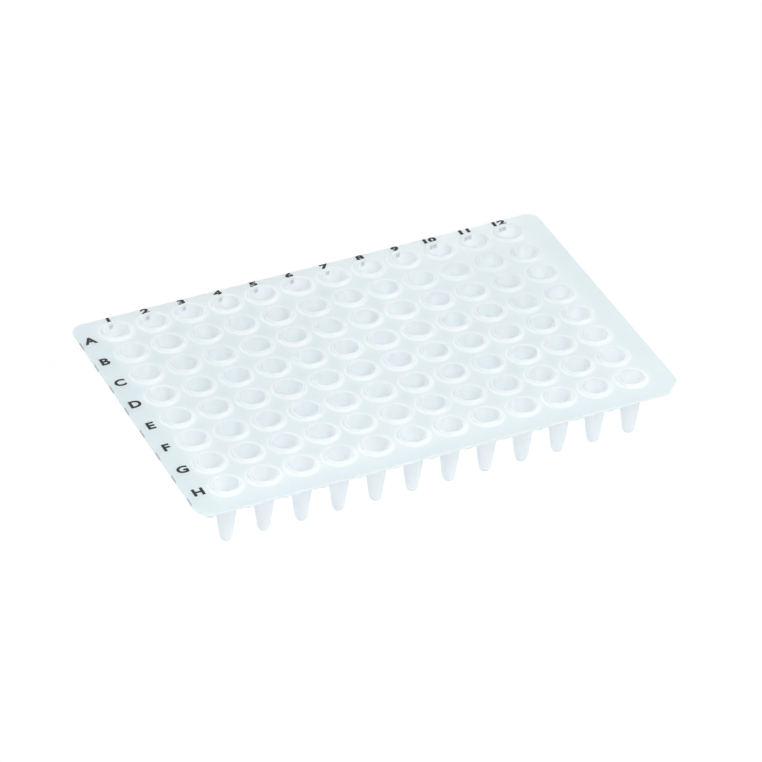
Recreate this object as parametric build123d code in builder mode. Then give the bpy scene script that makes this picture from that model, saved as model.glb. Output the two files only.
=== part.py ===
"""Skirtless 96-well plate for thermal cycling, moulded in one piece.

A thin flat deck carries twelve columns and eight rows of conical tubes. Each tube
opens through the deck into a low rim, on which a sealing film or a strip of caps
closes. Below the deck the tubes hang free, to drop into the block of a thermal cycler.

Frame: the plate stands on its tube tips at Z = 0, with its bounding box centred on
the Z axis. +X runs from column 1 to column 12, and +Y from row H to row A.
Lengths are in millimetres and angles in degrees.
"""
import os
from math import radians, tan

from build123d import *

# Well grid
pitch = 9.0
columns = 12
rows = 8

# Deck. Each margin runs from the axes of the outermost wells to the deck's edge
end_margin = 9.5
front_margin = 8.3  # before row H
back_margin = 5.9  # behind row A, on the numbered edge
deck_thickness = 0.7
deck_edge_radius = 0.15
corner_radius = 3.0  # beside wells A1 and A12
h1_corner_radius = 4.0
key_cut = 4.0  # bevelled corner beside well H12, which keys the plate in its holder
key_cut_radius = 1.2

# Rims, which stand on the deck
overall_height = 15.5
rim_height = 0.7
mouth_radius = 2.7
rim_wall = 0.75
rim_spread = 0.1  # how much wider the rim is at its foot

# Tubes, which hang below the deck
tube_wall = 0.38
tube_taper = 7.1
tip_radius = 0.75
tip_bevel_height = 0.8
floor_thickness = 0.5
bore_end_radius = 0.45
bore_bevel_height = 0.6

# Levels, lengths and radii that follow from those sizes
deck_length = pitch * (columns - 1) + 2 * end_margin
deck_width = pitch * (rows - 1) + front_margin + back_margin
grid_shift = (front_margin - back_margin) / 2
deck_top = overall_height - rim_height
deck_underside = deck_top - deck_thickness
slope = tan(radians(tube_taper))
rim_radius = mouth_radius + rim_wall
rim_foot_radius = rim_radius + rim_spread
tube_root_radius = mouth_radius + tube_wall
tube_foot_radius = tube_root_radius - slope * (deck_underside - tip_bevel_height)
bore_bevel_top = floor_thickness + bore_bevel_height
bore_foot_radius = mouth_radius - slope * (deck_underside - bore_bevel_top)

# One tube and its rim, solid, as a turned form about the well's axis
with BuildPart() as tube_form:
    with BuildSketch(Plane.XZ):
        with BuildLine():
            Polyline(
                (0, 0),
                (tip_radius, 0),
                (tube_foot_radius, tip_bevel_height),
                (tube_root_radius, deck_underside),
                (rim_foot_radius, deck_top),
                (rim_radius, overall_height),
                (0, overall_height),
                close=True,
            )
        make_face()
    revolve(axis=Axis.Z)

# The space inside one well, from the floor of the tube to the mouth
with BuildPart() as well_form:
    with BuildSketch(Plane.XZ):
        with BuildLine():
            Polyline(
                (0, floor_thickness),
                (bore_end_radius, floor_thickness),
                (bore_foot_radius, bore_bevel_top),
                (mouth_radius, deck_underside),
                (mouth_radius, overall_height),
                (0, overall_height),
                close=True,
            )
        make_face()
    revolve(axis=Axis.Z)

with BuildPart() as well_plate:
    # Deck, with three rounded corners and the key cut
    with BuildSketch(Plane.XY.offset(deck_underside)):
        Rectangle(deck_length, deck_width)
        left_corners = vertices().group_by(Axis.X)[0].sort_by(Axis.Y)
        right_corners = vertices().group_by(Axis.X)[-1].sort_by(Axis.Y)
        fillet([left_corners[-1], right_corners[-1]], corner_radius)
        fillet(left_corners[0], h1_corner_radius)
        chamfer(right_corners[0], key_cut)
        cut_top = vertices().group_by(Axis.X)[-1].sort_by(Axis.Y)[0]
        cut_bottom = vertices().group_by(Axis.Y)[0].sort_by(Axis.X)[-1]
        fillet([cut_top, cut_bottom], key_cut_radius)
    extrude(amount=deck_thickness)
    fillet(edges().group_by(Axis.Z)[0] + edges().group_by(Axis.Z)[-1], deck_edge_radius)

    # Ninety-six tubes through the deck, then their bores
    with Locations((0, grid_shift)):
        with GridLocations(pitch, pitch, columns, rows):
            add(tube_form.part)
        with GridLocations(pitch, pitch, columns, rows):
            add(well_form.part, mode=Mode.SUBTRACT)

well_plate.part.label = "well_plate"

os.makedirs("parts", exist_ok=True)
export_step(well_plate.part, "parts/well_plate.step")
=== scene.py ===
"""A skirtless plate for thermal cycling, moulded in natural polypropylene and printed in black.

Lengths are in metres and angles in degrees, in the plate's own frame: +X runs from column 1 to
column 12, +Y from row H to row A, and the tube tips stand on the floor at Z = 0.
"""
from math import cos, hypot, radians, sin, tan

import bpy
from mathutils import Matrix, Vector


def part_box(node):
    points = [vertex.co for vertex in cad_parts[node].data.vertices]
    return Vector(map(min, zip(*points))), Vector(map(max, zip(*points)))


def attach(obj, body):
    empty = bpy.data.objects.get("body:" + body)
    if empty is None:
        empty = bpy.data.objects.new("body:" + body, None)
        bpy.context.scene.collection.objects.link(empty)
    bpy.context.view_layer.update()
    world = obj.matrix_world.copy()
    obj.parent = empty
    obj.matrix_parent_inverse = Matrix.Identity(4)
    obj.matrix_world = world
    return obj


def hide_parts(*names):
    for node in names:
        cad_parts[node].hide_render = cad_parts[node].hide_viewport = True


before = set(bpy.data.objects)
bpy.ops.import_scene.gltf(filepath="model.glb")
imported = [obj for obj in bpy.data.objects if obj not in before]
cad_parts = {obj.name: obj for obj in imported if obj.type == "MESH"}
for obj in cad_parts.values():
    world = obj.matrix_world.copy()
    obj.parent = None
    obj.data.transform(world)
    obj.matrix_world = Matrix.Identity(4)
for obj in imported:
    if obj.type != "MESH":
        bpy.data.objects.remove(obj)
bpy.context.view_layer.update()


# ---------------------------------------------------------------------------------------------
# Wells. Each is a low rim round a mouth, over a thin conical tube with a domed tip. They are
# moulded as one with the deck, in natural polypropylene. One is raised ring by ring from a
# circle, its corners are rounded, and it is repeated over the grid.
# ---------------------------------------------------------------------------------------------

pitch = 0.009
columns = 12
rows = 8
grid_shift = 0.0012
first_column_x = -pitch * (columns - 1) / 2
row_h_y = grid_shift - pitch * (rows - 1) / 2
row_a_y = grid_shift + pitch * (rows - 1) / 2
ring_corners = 32

plate_low, plate_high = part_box("well_plate")
rim_height = 0.0007
deck_thickness = 0.0007
rim_top = plate_high.z
deck_top = rim_top - rim_height
deck_underside = deck_top - deck_thickness

rim_radius = 0.00345
rim_foot_radius = 0.00355
rim_foot_fillet = 0.0004
rim_edge_rounding = 0.00025
mouth_radius = 0.0027
mouth_rounding = 0.00035
rim_collar_radius = 0.0041

tube_wall = 0.00038
tube_taper = 7.1
tube_root_radius = mouth_radius + tube_wall
tube_root_fillet = 0.0003
tube_collar_radius = 0.0036
tip_radius = 0.00075
tip_rounding = 0.0005
tip_bevel_height = 0.0008
tube_foot_radius = tube_root_radius - tan(radians(tube_taper)) * (deck_underside - tip_bevel_height)
tube_foot_rounding = 0.0006

floor_thickness = 0.0005
bore_end_radius = 0.00045
bore_foot_rise = 0.0006
bore_foot_height = floor_thickness + bore_foot_rise
bore_foot_radius = mouth_radius - tan(radians(tube_taper)) * (deck_underside - bore_foot_height)
bore_foot_rounding = 0.0003
same_place = 1e-6


def start_form(name, radius, height):
    """Adds a circle on the well's axis and opens it for editing, with its ring selected."""
    bpy.ops.object.select_all(action="DESELECT")
    bpy.ops.mesh.primitive_circle_add(vertices=ring_corners, radius=radius, location=(0, 0, height))
    bpy.ops.object.transform_apply(location=True, rotation=False, scale=False)
    form = bpy.context.object
    form.name = name
    bpy.ops.object.mode_set(mode="EDIT")
    bpy.ops.mesh.select_mode(type="VERT")
    bpy.ops.mesh.select_all(action="SELECT")
    return form


def raise_rings(profile):
    """Extrudes the selected ring from each radius and height of the profile to the next."""
    for (radius, height), (next_radius, next_height) in zip(profile, profile[1:]):
        rise = (0, 0, next_height - height)
        bpy.ops.mesh.extrude_edges_move(TRANSFORM_OT_translate={"value": rise})
        ratio = next_radius / radius
        bpy.ops.transform.resize(value=(ratio, ratio, 1), center_override=(0, 0, next_height))


def round_ring(form, radius, height, rounding, steps):
    """Bevels the ring of edges at a radius and height into a round corner."""
    bpy.ops.mesh.select_all(action="DESELECT")
    bpy.ops.object.mode_set(mode="OBJECT")
    for vertex in form.data.vertices:
        x, y, z = vertex.co
        vertex.select = abs(hypot(x, y) - radius) < same_place and abs(z - height) < same_place
    bpy.ops.object.mode_set(mode="EDIT")
    bpy.ops.mesh.bevel(offset=rounding, segments=steps, profile=0.5, affect="EDGES")


def repeat_over_grid(form):
    """Repeats a finished form over the columns and rows, from well H1 to well A12."""
    bpy.ops.object.mode_set(mode="OBJECT")
    form.data.transform(Matrix.Translation((first_column_x, row_h_y, 0)))
    for count, step in ((columns, (pitch, 0, 0)), (rows, (0, pitch, 0))):
        array = form.modifiers.new("grid", "ARRAY")
        array.count = count
        array.use_relative_offset = False
        array.use_constant_offset = True
        array.constant_offset_displace = step
        bpy.ops.object.modifier_apply(modifier=array.name)


mouth_profile = [
    (rim_collar_radius, deck_top),
    (rim_foot_radius, deck_top),
    (rim_radius, rim_top),
    (mouth_radius, rim_top),
    (mouth_radius, deck_underside),
    (bore_foot_radius, bore_foot_height),
    (bore_end_radius, floor_thickness),
]
mouths = start_form("well_plate_moulding", *mouth_profile[0])
raise_rings(mouth_profile)
bpy.ops.mesh.edge_face_add()
round_ring(mouths, rim_foot_radius, deck_top, rim_foot_fillet, 3)
round_ring(mouths, rim_radius, rim_top, rim_edge_rounding, 2)
round_ring(mouths, mouth_radius, rim_top, mouth_rounding, 3)
round_ring(mouths, bore_foot_radius, bore_foot_height, bore_foot_rounding, 2)
repeat_over_grid(mouths)

tube_profile = [
    (tube_collar_radius, deck_underside),
    (tube_root_radius, deck_underside),
    (tube_foot_radius, tip_bevel_height),
    (tip_radius, 0),
]
tubes = start_form("tubes", *tube_profile[0])
raise_rings(tube_profile)
bpy.ops.mesh.edge_face_add()
round_ring(tubes, tube_root_radius, deck_underside, tube_root_fillet, 3)
round_ring(tubes, tube_foot_radius, tip_bevel_height, tube_foot_rounding, 2)
round_ring(tubes, tip_radius, 0, tip_rounding, 2)
repeat_over_grid(tubes)


# ---------------------------------------------------------------------------------------------
# Deck. A flat sheet that carries the wells, with three rounded corners and, beside well H12,
# one that is cut off. Its edge band is joined to the wells, and the sheets between them are
# filled in above and below, so that the whole plate is one closed skin.
# ---------------------------------------------------------------------------------------------

corner_radius = 0.003
h1_corner_radius = 0.004
key_cut = 0.004
key_cut_rounding = 0.0006
deck_edge_rounding = 0.0002
nearly_level = 0.999


def shape_corner(deck, x_side, y_side, size, steps):
    """Cuts or rounds the deck's corners that lie to one side in X and in Y."""
    bpy.ops.mesh.select_all(action="DESELECT")
    bpy.ops.object.mode_set(mode="OBJECT")
    middle = (plate_low + plate_high) / 2
    for vertex in deck.data.vertices:
        away = vertex.co - middle
        vertex.select = away.x * x_side > 0 and away.y * y_side > 0
    bpy.ops.object.mode_set(mode="EDIT")
    bpy.ops.mesh.bevel(
        offset=size, segments=steps, profile=0.5, affect="VERTICES", clamp_overlap=False
    )


def select_level_faces(form):
    """Selects the faces that lie level, facing up or down."""
    bpy.ops.mesh.select_mode(type="FACE")
    bpy.ops.mesh.select_all(action="DESELECT")
    bpy.ops.object.mode_set(mode="OBJECT")
    for face in form.data.polygons:
        face.select = abs(face.normal.z) > nearly_level
    bpy.ops.object.mode_set(mode="EDIT")


bpy.ops.object.select_all(action="DESELECT")
bpy.ops.mesh.primitive_plane_add(size=1, location=(0, 0, deck_underside))
deck = bpy.context.object
deck.scale = (plate_high.x - plate_low.x, plate_high.y - plate_low.y, 1)
bpy.ops.object.transform_apply(location=True, rotation=False, scale=True)
bpy.ops.object.mode_set(mode="EDIT")
bpy.ops.mesh.select_mode(type="VERT")
for x_side, y_side, size, steps in (
    (-1, 1, corner_radius, 6),
    (1, 1, corner_radius, 6),
    (-1, -1, h1_corner_radius, 6),
    (1, -1, key_cut, 1),
    (1, -1, key_cut_rounding, 3),
):
    shape_corner(deck, x_side, y_side, size, steps)
bpy.ops.mesh.select_all(action="SELECT")
rise = (0, 0, deck_top - deck_underside)
bpy.ops.mesh.extrude_region_move(TRANSFORM_OT_translate={"value": rise})
select_level_faces(deck)
bpy.ops.mesh.region_to_loop()
bpy.ops.mesh.bevel(
    offset=deck_edge_rounding, segments=3, profile=0.5, affect="EDGES", clamp_overlap=False
)
select_level_faces(deck)
bpy.ops.mesh.delete(type="ONLY_FACE")
bpy.ops.object.mode_set(mode="OBJECT")

# The band, the mouths and the tubes become one piece, and each open level is filled in
plate = mouths
bpy.ops.object.select_all(action="DESELECT")
for part in (deck, tubes, plate):
    part.select_set(True)
bpy.context.view_layer.objects.active = plate
bpy.ops.object.join()
for level in (deck_top, deck_underside):
    bpy.ops.object.mode_set(mode="EDIT")
    bpy.ops.mesh.select_mode(type="EDGE")
    bpy.ops.mesh.select_all(action="DESELECT")
    bpy.ops.mesh.select_non_manifold(extend=False)
    bpy.ops.object.mode_set(mode="OBJECT")
    for edge in plate.data.edges:
        ends = [plate.data.vertices[i].co for i in edge.vertices]
        edge.select = edge.select and all(abs(end.z - level) < same_place for end in ends)
    bpy.ops.object.mode_set(mode="EDIT")
    bpy.ops.mesh.fill(use_beauty=True)
bpy.ops.mesh.select_all(action="SELECT")
bpy.ops.mesh.normals_make_consistent(inside=False)
bpy.ops.object.mode_set(mode="OBJECT")
bpy.ops.object.shade_smooth()
flatten = plate.modifiers.new("flat_deck", "WEIGHTED_NORMAL")
flatten.mode = "FACE_AREA"
flatten.weight = 80
bpy.ops.object.modifier_apply(modifier=flatten.name)


class Shade:
    """A socket in a material's nodes. Sums and products of sockets and numbers add Math nodes."""

    def __init__(self, tree, socket=None):
        self.tree = tree
        self.socket = socket

    def node(self, kind, sockets=None, output=0, **settings):
        """Adds a node, sets its settings, then the values or links of its sockets."""
        made = self.tree.nodes.new(kind)
        for name, value in settings.items():
            setattr(made, name, value)
        for name, value in (sockets or {}).items():
            if isinstance(value, Shade):
                self.tree.links.new(value.socket, made.inputs[name])
            else:
                made.inputs[name].default_value = value
        return Shade(self.tree, made.outputs[output] if len(made.outputs) else None)

    def maths(self, operation, first, second=0.0):
        """Adds a Math node on one or two sockets or numbers."""
        return self.node("ShaderNodeMath", {0: first, 1: second}, operation=operation)

    def __add__(self, other):
        return self.maths("ADD", self, other)

    __radd__ = __add__

    def __mul__(self, other):
        return self.maths("MULTIPLY", self, other)

    __rmul__ = __mul__

    def __sub__(self, other):
        return self.maths("SUBTRACT", self, other)

    def __rsub__(self, other):
        return self.maths("SUBTRACT", other, self)


def new_material(name):
    """An empty material, and the handle on its nodes."""
    material = bpy.data.materials.new(name)
    material.use_nodes = True
    material.node_tree.nodes.clear()
    return material, Shade(material.node_tree)


def from_nearest_well(along, first_axis, count):
    """How far a place lies from the nearest well's axis in one direction."""
    steps = (along - first_axis) * (1 / pitch)
    nearest = nodes.maths("MAXIMUM", nodes.maths("ROUND", steps), 0.0)
    nearest = nodes.maths("MINIMUM", nearest, count - 1.0)
    return (steps - nearest) * pitch


def fade(value, start, end):
    """A mask that goes smoothly from 0 at one value to 1 at another."""
    sockets = {0: value, 1: start, 2: end}
    return nodes.node("ShaderNodeMapRange", sockets, interpolation_type="SMOOTHSTEP")


def blend(mask, first, second):
    """The first colour where a mask is 0, and the second where it is 1."""
    sockets = {0: mask, 6: first, 7: second}
    return nodes.node("ShaderNodeMix", sockets, output=2, data_type="RGBA")


body_colour = (0.889, 0.945, 0.954, 1)
tube_lightened_colour = (0.933, 0.969, 0.991, 1)
bore_shade_colour = (0.891, 0.914, 0.923, 1)
margin_shade_colour = (0.872, 0.94, 0.957, 1)
end_face_shade_colour = (0.86, 0.9, 0.9, 1)
ring_highlight_colour = (0.963, 0.997, 0.997, 1)
light_ring_radius = 0.0042
rim_top_highlight = 0.4
ring_loss_at_a12 = 0.6
deck_light_at_a12 = 0.22
front_margin_shade = 0.5
right_margin_shade = 0.3

# Where each margin's painted shade and the corner's painted light begin and where they are full. For
# the corner it is X plus Y
left_margin = (-0.0525, -0.0545)
right_margin = (0.053, 0.055)
front_margin = (-0.0335, -0.0355)
a12_corner = (0.03, 0.08)

polypropylene, nodes = new_material("natural_polypropylene")
place = nodes.node("ShaderNodeTexCoord", output="Object")
along_x, along_y, along_z = (
    nodes.node("ShaderNodeSeparateXYZ", {0: place}, output=axis) for axis in "XYZ"
)
off_x = from_nearest_well(along_x, first_column_x, columns)
off_y = from_nearest_well(along_y, row_h_y, rows)
off_axis = nodes.maths("SQRT", off_x * off_x + off_y * off_y)
at_left = fade(along_x, *left_margin)
at_right = fade(along_x, *right_margin)
at_front = fade(along_y, *front_margin)
at_a12 = fade(along_x + along_y, *a12_corner)

# A bore's wall leans in as it goes down, so a place's distance from it grows with its depth
depth = nodes.maths("MAXIMUM", deck_underside - along_z, 0.0)
beside_bore = off_axis + depth * tan(radians(tube_taper))
in_bore = fade(beside_bore, mouth_radius + 0.00025, mouth_radius + 0.0001)

# Painted light: a lighter ring of deck round each rim's foot and a lighter rim top stand in for the
# light rings round the wells. Towards well A12 the painted rings are fainter and the deck between them
# is painted lighter
on_deck = fade(along_z, deck_underside - 0.0004, deck_underside - 0.0001)
ring_on_deck = on_deck * fade(off_axis, light_ring_radius + 0.0002, light_ring_radius - 0.0002)
above_deck = fade(along_z, deck_top - 0.00035, deck_top - 0.00015)
on_rim = above_deck * fade(off_axis, rim_foot_radius + 0.00015, rim_foot_radius + 0.00005)
rim_ring_light = nodes.maths("MAXIMUM", ring_on_deck, rim_top_highlight * on_rim)
rim_ring_light = rim_ring_light * (1 - ring_loss_at_a12 * at_a12)
corner_deck_light = deck_light_at_a12 * at_a12 * (1 - at_right)
painted_ring_light = nodes.maths("MAXIMUM", rim_ring_light, corner_deck_light) * (1 - in_bore)

# Painted light and shade: the tubes in the deck's shade are painted lighter and bluer, and the deck's
# margins darker
# Painted shade: the margins are painted darker, fully on the left, half at the front, less on the
# right
shaded_ends = front_margin_shade * at_front + right_margin_shade * at_right
margin_shade = nodes.maths("MAXIMUM", at_left, shaded_ends)
# Painted shade: the deck's front face and its cut corner face are painted darker than the light on
# them leaves them
on_front = fade(along_y, plate_low.y + 0.0003, plate_low.y + 0.0001)
cut_line = plate_high.x - plate_low.y - key_cut
on_cut = fade(along_x - along_y, cut_line - 0.0003, cut_line - 0.0001)
below_deck = fade(along_z, deck_underside - 0.0002, deck_underside - 0.0006)
colour = blend(margin_shade, body_colour, margin_shade_colour)
colour = blend(nodes.maths("MAXIMUM", on_front, on_cut), colour, end_face_shade_colour)
colour = blend(below_deck, colour, tube_lightened_colour)
colour = blend(painted_ring_light, colour, ring_highlight_colour)
# Painted shade: the inside of each bore is painted darker and more violet
colour = blend(in_bore, colour, bore_shade_colour)

# Painted reflections of the print in the clear plastic: a dark dash on the left edge before each
# letter, and a dark mark behind each number, low on the back wall of the nearest well
print_reflection_colour = (0.1, 0.12, 0.13, 1)
dash_strength = 0.5
dash_lag = 0.0021
dash_half_length = 0.0011
dash_blur = 0.0005
number_reflection_strength = 0.36
number_reflection_shift = 0.0004
number_reflection_half_width = 0.0003
number_reflection_blur = 0.00035
half_digit_step = 0.0005

on_left_edge = fade(along_x, plate_low.x + 0.0002, plate_low.x + 0.00008)
from_dash = nodes.maths("ABSOLUTE", off_y + dash_lag)
letter_reflection_dash = on_left_edge * fade(from_dash, dash_half_length + dash_blur, dash_half_length)
in_slab = fade(along_z, deck_underside - 0.0005, deck_underside + 0.0001)
in_slab = in_slab * fade(along_z, deck_top + 0.0003, deck_top - 0.0001)
on_wall = in_slab * fade(off_axis, mouth_radius + 0.0002, mouth_radius + 0.0001)
on_back_wall = on_wall * fade(off_y, 0.0018, 0.0022)
in_row_a = nodes.maths("GREATER_THAN", along_y, row_a_y - pitch / 2)
two_digits = nodes.maths("GREATER_THAN", along_x, first_column_x + 8.5 * pitch)
from_middle = nodes.maths("ABSOLUTE", off_x + number_reflection_shift)
from_stroke = nodes.maths("ABSOLUTE", from_middle - half_digit_step * two_digits)
on_stroke = fade(from_stroke, number_reflection_half_width + number_reflection_blur, number_reflection_half_width)
number_reflection = on_back_wall * in_row_a * on_stroke
print_reflections = nodes.maths("MAXIMUM", dash_strength * letter_reflection_dash, number_reflection_strength * number_reflection)
colour = blend(print_reflections, colour, print_reflection_colour)

skin_unevenness = nodes.node("ShaderNodeTexNoise", {"Vector": place, "Scale": 900.0, "Detail": 2.0})
skin = nodes.node("ShaderNodeBump", {"Height": skin_unevenness, "Strength": 0.03, "Distance": 0.0002})
clear = nodes.node(
    "ShaderNodeBsdfPrincipled",
    {"Base Color": colour, "Roughness": 0.55, "IOR": 1.49, "Transmission Weight": 0.3, "Normal": skin},
)
milk = nodes.node("ShaderNodeBsdfTranslucent", {"Color": colour, "Normal": skin})
milk_share = 0.25
wall = nodes.node("ShaderNodeMixShader", {0: milk_share, 1: clear, 2: milk})

# A part of the lamps' light goes straight on through the thin walls, more in the rings that are
# painted lighter, and comes out a little warmer
least_passed = 0.335
more_in_ring_light = 0.48
lamp_ray = nodes.node("ShaderNodeLightPath", output="Is Shadow Ray")
passed = nodes.node("ShaderNodeBsdfTransparent", {"Color": (1, 0.915, 0.92, 1)})
lit = nodes.node("ShaderNodeMixShader", {0: lamp_ray, 1: wall, 2: passed})
share = least_passed + more_in_ring_light * painted_ring_light
plastic = nodes.node("ShaderNodeMixShader", {0: share, 1: wall, 2: lit})
nodes.node("ShaderNodeOutputMaterial", {"Surface": plastic})
plate.data.materials.append(polypropylene)
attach(plate, "root")
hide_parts("well_plate")


# ---------------------------------------------------------------------------------------------
# Print. Black ink on the deck: the letters of the rows along the left margin, and the numbers
# of the columns along the edge behind row A. Each is set in a plain bold face, a hair thick.
# ---------------------------------------------------------------------------------------------

letter_line_x = -0.0565
letter_lean = 0.00009
letter_spacing = 0.00882
letter_a_lag = 0.001
letter_height = 0.0026
letter_boldness = 0.04
letter_stretch = 1.15
number_shift = 0.0002
number_line_y = 0.03759
number_height = 0.00186
number_boldness = 0.055
number_stretch = 1.64
ink_thickness = 0.00001
ink_colour = (0.012, 0.012, 0.015, 1)


def print_mark(text, x, y, height, boldness, stretch):
    """Prints one letter or number on the deck, centred on a point, and returns it as a mesh."""
    bpy.ops.object.select_all(action="DESELECT")
    bpy.ops.object.text_add(location=(0, 0, 0))
    mark = bpy.context.object
    mark.data.body = text
    mark.data.align_x = "CENTER"
    mark.data.align_y = "CENTER"
    mark.data.size = 1.0
    mark.data.offset = boldness
    mark.data.resolution_u = 3
    mark.data.extrude = 0.5
    bpy.ops.object.convert(target="MESH")
    mark = bpy.context.object
    places = [vertex.co for vertex in mark.data.vertices]
    low = Vector(map(min, *places))
    high = Vector(map(max, *places))
    scale = height / (high.y - low.y)
    middle = (low + high) / 2
    mark.data.transform(Matrix.Translation(-middle))
    mark.data.transform(Matrix.Diagonal((scale * stretch, scale, ink_thickness, 1)))
    mark.data.transform(Matrix.Translation((x, y, deck_top + ink_thickness / 2)))
    return mark


def join_marks(marks, name):
    """Joins marks into one printed piece."""
    bpy.ops.object.select_all(action="DESELECT")
    for mark in marks:
        mark.select_set(True)
    bpy.context.view_layer.objects.active = marks[0]
    bpy.ops.object.join()
    printed = bpy.context.object
    printed.name = name
    printed.data.materials.append(ink)
    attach(printed, "root")


ink, nodes = new_material("black_print")
place = nodes.node("ShaderNodeTexCoord", output="Object")
ink_unevenness = nodes.node("ShaderNodeTexNoise", {"Vector": place, "Scale": 4000.0, "Detail": 1.0})
pigment = nodes.node(
    "ShaderNodeBsdfPrincipled",
    {"Base Color": ink_colour, "Roughness": 0.35 + 0.2 * ink_unevenness, "IOR": 1.45},
)
nodes.node("ShaderNodeOutputMaterial", {"Surface": pigment})

letters = []
for row, letter in enumerate("ABCDEFGH"):
    x = letter_line_x + letter_lean * row
    y = row_a_y - letter_a_lag - letter_spacing * row
    letters.append(print_mark(letter, x, y, letter_height, letter_boldness, letter_stretch))
join_marks(letters, "row_letters")

numbers = []
for column in range(columns):
    number = str(column + 1)
    x = first_column_x + pitch * column - number_shift
    y = number_line_y
    numbers.append(print_mark(number, x, y, number_height, number_boldness, number_stretch))
join_marks(numbers, "column_numbers")


# ---------------------------------------------------------------------------------------------
# Room. A white floor and a white surround, with a soft lamp on each side of the camera. The
# camera, mirrors and glass see the surround as plain white, but it lights the plate less.
# ---------------------------------------------------------------------------------------------

floor_half_width = 2.0
seen_white = 1.0
surround_light = 0.42
floor_glow = 0.9
floor_fill = 1.0
floor_paint = 0.15

bpy.ops.object.select_all(action="DESELECT")
bpy.ops.mesh.primitive_plane_add(size=2 * floor_half_width, location=(0, 0, 0))
floor = bpy.context.object
floor.name = "floor"
white_floor, nodes = new_material("white_floor")
paint = nodes.node("ShaderNodeBsdfDiffuse", {"Color": (floor_paint, floor_paint, floor_paint, 1)})
path = nodes.node("ShaderNodeLightPath", output="Is Diffuse Ray")
strength = floor_glow + (floor_fill - floor_glow) * path
glow = nodes.node("ShaderNodeEmission", {"Color": (1, 1, 1, 1), "Strength": strength})
both = nodes.node("ShaderNodeAddShader", {0: glow, 1: paint})
nodes.node("ShaderNodeOutputMaterial", {"Surface": both})
floor.data.materials.append(white_floor)

world = bpy.data.worlds.new("surround")
bpy.context.scene.world = world
world.use_nodes = True
world.node_tree.nodes.clear()
nodes = Shade(world.node_tree)
path = nodes.node("ShaderNodeLightPath", output="Is Diffuse Ray")
strength = seen_white + (surround_light - seen_white) * path
sky = nodes.node("ShaderNodeBackground", {"Color": (1, 1, 1, 1), "Strength": strength})
nodes.node("ShaderNodeOutputWorld", {"Surface": sky})

view_azimuth = -25.16
view_elevation = 36.11
middle_below_rims = 0.0009
plate_middle = Vector((0, grid_shift, rim_top - middle_below_rims))


def towards(azimuth, elevation):
    """The way from the plate to a lamp or camera. Azimuth 0 is in front and grows to the right."""
    a, e = radians(azimuth), radians(elevation)
    return Vector((sin(a) * cos(e), -cos(a) * cos(e), sin(e)))


def add_lamp(name, azimuth, elevation, distance, width, power):
    """A square soft lamp that faces the plate."""
    way = towards(azimuth, elevation)
    bpy.ops.object.light_add(type="AREA", location=plate_middle + distance * way)
    lamp = bpy.context.object
    lamp.name = name
    lamp.data.size = width
    lamp.data.energy = power
    lamp.rotation_euler = way.to_track_quat("Z", "Y").to_euler()


add_lamp("lamp_left", view_azimuth - 42, elevation=45, distance=1.2, width=0.5, power=2.5)
add_lamp("lamp_right", view_azimuth + 44, elevation=45, distance=0.7, width=0.3, power=1.92)

# The camera stands far off with a long lens, and is aimed a little beside and below the
# plate's middle
camera_distance = 1.0623
camera_lens = 221.83
camera_roll = 0.942
aim_right = 0.00192
aim_down = 0.00577

back = towards(view_azimuth, view_elevation)
level_right = Vector((cos(radians(view_azimuth)), sin(radians(view_azimuth)), 0))
level_up = back.cross(level_right)
right = cos(radians(camera_roll)) * level_right + sin(radians(camera_roll)) * level_up
up = back.cross(right)
aim = plate_middle + aim_right * right - aim_down * up
bpy.ops.object.camera_add(location=aim + camera_distance * back)
camera = bpy.context.object
camera.rotation_euler = Matrix((right, up, back)).transposed().to_euler()
camera.data.lens = camera_lens
camera.data.sensor_width = 36
camera.data.clip_end = 10
bpy.context.scene.camera = camera
bpy.context.scene.view_settings.view_transform = "Standard"

# Light crosses many thin milky walls on its way through the plate
bpy.context.scene.cycles.max_bounces = 24
bpy.context.scene.cycles.diffuse_bounces = 16
bpy.context.scene.cycles.transmission_bounces = 24
bpy.context.scene.cycles.transparent_max_bounces = 32
